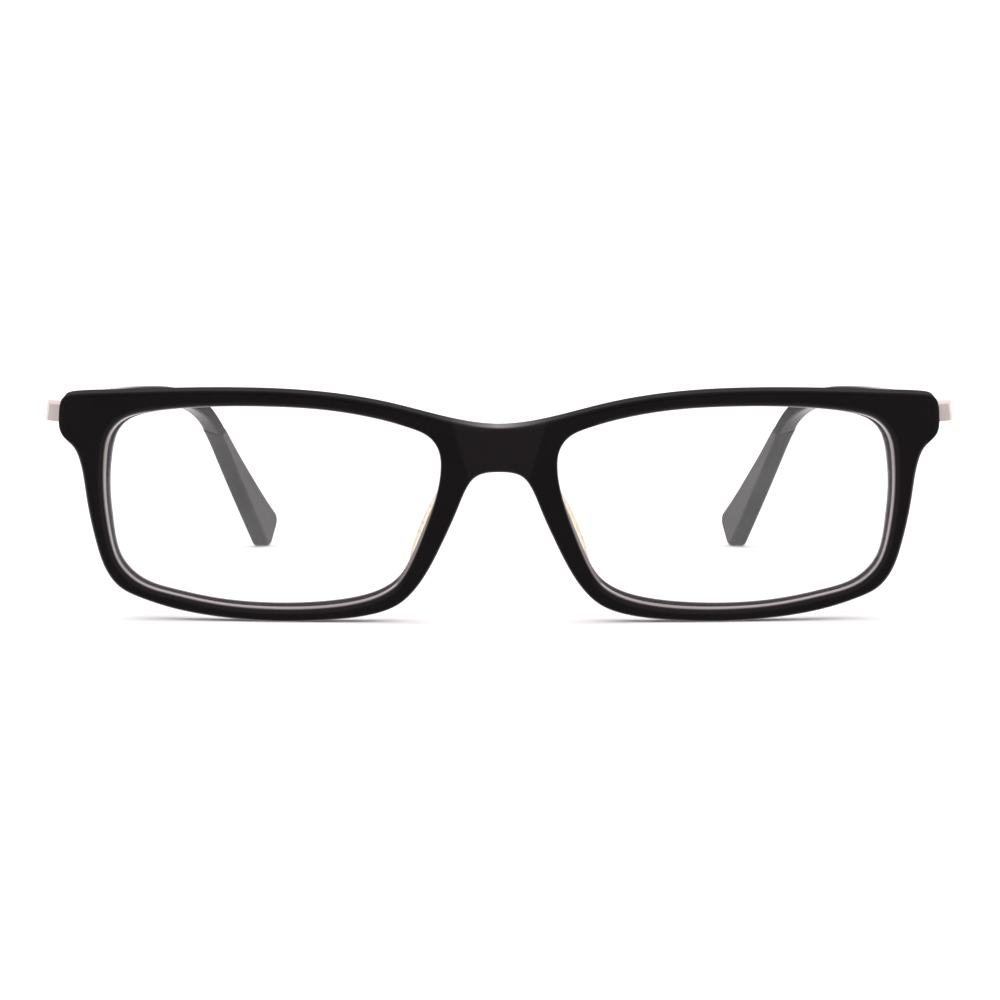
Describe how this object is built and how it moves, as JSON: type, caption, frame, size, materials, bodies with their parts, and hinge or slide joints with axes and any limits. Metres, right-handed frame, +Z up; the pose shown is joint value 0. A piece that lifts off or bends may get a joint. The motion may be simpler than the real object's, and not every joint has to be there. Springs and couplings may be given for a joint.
{
  "type": "eyeglasses frame",
  "caption": "Full-rim rectangular eyeglasses frame in black plastic with clear demo lenses, fixed nose pads and folding temples hinged on slim metal end blocks.",
  "frame": {"origin": "middle of the open frame's footprint, on the surface it stands on", "axes": "+Z up; the front faces -Y and the temples run back along +Y; +X is the wearer's left"},
  "size_m": [0.1452, 0.1446, 0.037],
  "materials": {
    "black_acetate": "polished black, faint warm tint",
    "clear_lens": "clear demo lens with a faint violet edge",
    "cream_pad": "translucent cream, smooth",
    "hinge_nickel": "satin nickel",
    "screw_steel": "bright steel",
    "satin_silver": "satin silver",
    "core_steel": "drawn wire"
  },
  "bodies": {
    "front": {"front_frame": "black_acetate", "lens_left": "clear_lens", "nose_pad_left": "cream_pad", "front_hinge_leaf_left": "hinge_nickel", "hinge_screw_left": "screw_steel", "lens_right": "clear_lens", "nose_pad_right": "cream_pad", "front_hinge_leaf_right": "hinge_nickel", "hinge_screw_right": "screw_steel"},
    "left_temple": {"temple_hinge_leaf_left": "hinge_nickel", "temple_end_block_left": "satin_silver", "temple_tang_rivet_left": "screw_steel", "temple_core_wire_left": "core_steel", "temple_arm_left": "black_acetate", "temple_tip_left": "black_acetate"},
    "right_temple": {"temple_hinge_leaf_right": "hinge_nickel", "temple_end_block_right": "satin_silver", "temple_tang_rivet_right": "screw_steel", "temple_core_wire_right": "core_steel", "temple_arm_right": "black_acetate", "temple_tip_right": "black_acetate"}
  },
  "joints": [
    {"name": "left_temple_fold", "type": "hinge", "parent": "front", "child": "left_temple", "pos_m": [0.066, -0.05536, 0.0326], "axis": [0, 0, 1], "range_deg": [0, 82]},
    {"name": "right_temple_fold", "type": "hinge", "parent": "front", "child": "right_temple", "pos_m": [-0.066, -0.05536, 0.0326], "axis": [0, 0, -1], "range_deg": [0, 75]}
  ]
}
